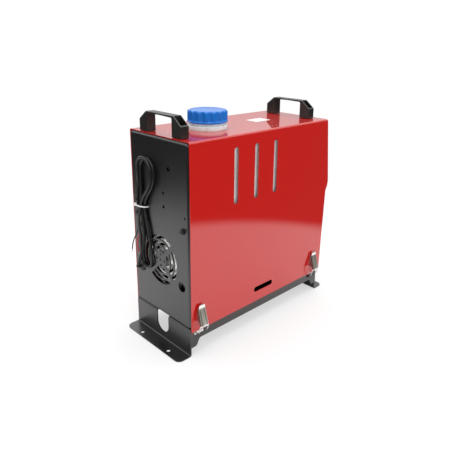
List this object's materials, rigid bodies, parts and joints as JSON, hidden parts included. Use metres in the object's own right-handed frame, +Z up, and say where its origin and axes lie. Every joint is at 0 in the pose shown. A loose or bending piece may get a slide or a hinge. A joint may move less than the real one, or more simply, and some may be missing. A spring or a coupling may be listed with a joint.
{
  "type": "diesel air heater",
  "caption": "Portable diesel air heater: red sheet-steel cover latched over a folded black base, black carrying handles, blue fuel cap, rear intake grille and a hank of power cable.",
  "frame": {"origin": "on the floor, under the middle of the base, centre of the bounding box without the power cable", "axes": "+X towards the display and the hot-air outlet, +Y towards the side away from the picture's camera, +Z up. The rear panel with the intake grille and the power cable faces -X."},
  "size_m": [0.3906, 0.1822, 0.3953],
  "materials": {
    "red_paint": "glossy",
    "black_paint": "satin",
    "zinc_steel": "satin",
    "bright_steel": "polished",
    "cast_aluminium": "matte",
    "black_plastic": "satin",
    "tank_plastic": "satin",
    "blue_plastic": "satin",
    "black_rubber": "matte",
    "white_nylon": "glossy",
    "red_insulation": "glossy",
    "dark_window": "glossy",
    "green_board": "matte",
    "amber_plastic": "glossy"
  },
  "bodies": {
    "frame": {"cover": "red_paint", "base_frame": "black_paint", "rear_panel": "black_paint", "front_panel": "black_paint", "tank_tray": "black_paint", "panel_bolt_left": "zinc_steel", "panel_bolt_right": "zinc_steel", "latch_1_base": "zinc_steel", "latch_2_base": "zinc_steel", "latch_3_base": "zinc_steel", "latch_4_base": "zinc_steel", "blower_motor": "zinc_steel", "core_stand": "zinc_steel", "exhaust_stub": "zinc_steel", "fuel_pump": "zinc_steel", "burner_tube": "bright_steel", "intake_guard": "bright_steel", "glow_plug": "bright_steel", "heat_exchanger": "cast_aluminium", "motor_plate": "cast_aluminium", "outlet_duct": "cast_aluminium", "rear_handle": "black_plastic", "front_handle": "black_plastic", "upper_casing": "black_plastic", "lower_casing": "black_plastic", "air_stub": "black_plastic", "control_module": "black_plastic", "outlet_ring": "black_plastic", "display_housing": "black_plastic", "fuel_line": "black_plastic", "fuel_tank": "tank_plastic", "power_cable": "black_rubber", "black_wire": "black_rubber", "cable_grommet": "black_rubber", "pump_bracket": "black_rubber", "tank_hose": "black_rubber", "pump_hose": "black_rubber", "cable_tie": "white_nylon", "red_wire": "red_insulation", "display_window": "dark_window", "control_board": "green_board", "fuel_filter": "amber_plastic"},
    "cap_seal_ring": {"cap_seal": "black_rubber"},
    "filler_cap": {"fuel_cap": "blue_plastic"},
    "blower_rotor": {"rotor_shaft": "bright_steel", "hot_air_impeller": "black_plastic", "combustion_impeller": "cast_aluminium"},
    "louvre": {"outlet_louvre": "black_plastic"},
    "latch_1_lever_body": {"latch_1_lever": "zinc_steel"},
    "latch_1_bail_body": {"latch_1_bail": "bright_steel"},
    "latch_2_lever_body": {"latch_2_lever": "zinc_steel"},
    "latch_2_bail_body": {"latch_2_bail": "bright_steel"},
    "latch_3_lever_body": {"latch_3_lever": "zinc_steel"},
    "latch_3_bail_body": {"latch_3_bail": "bright_steel"},
    "latch_4_lever_body": {"latch_4_lever": "zinc_steel"},
    "latch_4_bail_body": {"latch_4_bail": "bright_steel"},
    "button_power_key": {"button_power": "black_rubber"},
    "button_up_key": {"button_up": "black_rubber"},
    "button_down_key": {"button_down": "black_rubber"},
    "button_ok_key": {"button_ok": "black_rubber"}
  },
  "joints": [
    {"name": "cap_lift", "type": "slide", "parent": "frame", "child": "cap_seal_ring", "axis": [0, 0, 1], "range_m": [0, 0.06]},
    {"name": "cap_turn", "type": "hinge", "parent": "cap_seal_ring", "child": "filler_cap", "pos_m": [-0.065, 0, 0.383], "axis": [0, 0, 1], "continuous": true},
    {"name": "rotor_spin", "type": "hinge", "parent": "frame", "child": "blower_rotor", "pos_m": [-0.1, 0, 0.151], "axis": [1, 0, 0], "continuous": true},
    {"name": "louvre_turn", "type": "hinge", "parent": "frame", "child": "louvre", "pos_m": [0.17822, 0, 0.15114], "axis": [0.9994, 0, -0.0351], "continuous": true},
    {"name": "latch_1_lever_swing", "type": "hinge", "parent": "frame", "child": "latch_1_lever_body", "pos_m": [-0.15, -0.086, 0.062], "axis": [1, 0, 0], "range_deg": [0, 110]},
    {"name": "latch_1_bail_swing", "type": "hinge", "parent": "latch_1_lever_body", "child": "latch_1_bail_body", "pos_m": [-0.15, -0.0881, 0.057], "axis": [1, 0, 0], "range_deg": [-149, 0]},
    {"name": "latch_2_lever_swing", "type": "hinge", "parent": "frame", "child": "latch_2_lever_body", "pos_m": [0.15, -0.086, 0.062], "axis": [1, 0, 0], "range_deg": [0, 110]},
    {"name": "latch_2_bail_swing", "type": "hinge", "parent": "latch_2_lever_body", "child": "latch_2_bail_body", "pos_m": [0.15, -0.0881, 0.057], "axis": [1, 0, 0], "range_deg": [-149, 0]},
    {"name": "latch_3_lever_swing", "type": "hinge", "parent": "frame", "child": "latch_3_lever_body", "pos_m": [-0.15, 0.086, 0.062], "axis": [-1, 0, 0], "range_deg": [0, 110]},
    {"name": "latch_3_bail_swing", "type": "hinge", "parent": "latch_3_lever_body", "child": "latch_3_bail_body", "pos_m": [-0.15, 0.0881, 0.057], "axis": [-1, 0, 0], "range_deg": [-149, 0]},
    {"name": "latch_4_lever_swing", "type": "hinge", "parent": "frame", "child": "latch_4_lever_body", "pos_m": [0.15, 0.086, 0.062], "axis": [-1, 0, 0], "range_deg": [0, 110]},
    {"name": "latch_4_bail_swing", "type": "hinge", "parent": "latch_4_lever_body", "child": "latch_4_bail_body", "pos_m": [0.15, 0.0881, 0.057], "axis": [-1, 0, 0], "range_deg": [-149, 0]},
    {"name": "button_power_press", "type": "slide", "parent": "frame", "child": "button_power_key", "axis": [-0.9941, 0, -0.108], "range_m": [0, 0.001], "stiffness_N_per_m": 600},
    {"name": "button_up_press", "type": "slide", "parent": "frame", "child": "button_up_key", "axis": [-0.9941, 0, -0.108], "range_m": [0, 0.001], "stiffness_N_per_m": 600},
    {"name": "button_down_press", "type": "slide", "parent": "frame", "child": "button_down_key", "axis": [-0.9941, 0, -0.108], "range_m": [0, 0.001], "stiffness_N_per_m": 600},
    {"name": "button_ok_press", "type": "slide", "parent": "frame", "child": "button_ok_key", "axis": [-0.9941, 0, -0.108], "range_m": [0, 0.001], "stiffness_N_per_m": 600}
  ],
  "couplings": [
    {"joint": "latch_1_bail_swing", "follows": "latch_1_lever_swing", "ratio": -1.35},
    {"joint": "latch_2_bail_swing", "follows": "latch_2_lever_swing", "ratio": -1.35},
    {"joint": "latch_3_bail_swing", "follows": "latch_3_lever_swing", "ratio": -1.35},
    {"joint": "latch_4_bail_swing", "follows": "latch_4_lever_swing", "ratio": -1.35}
  ]
}
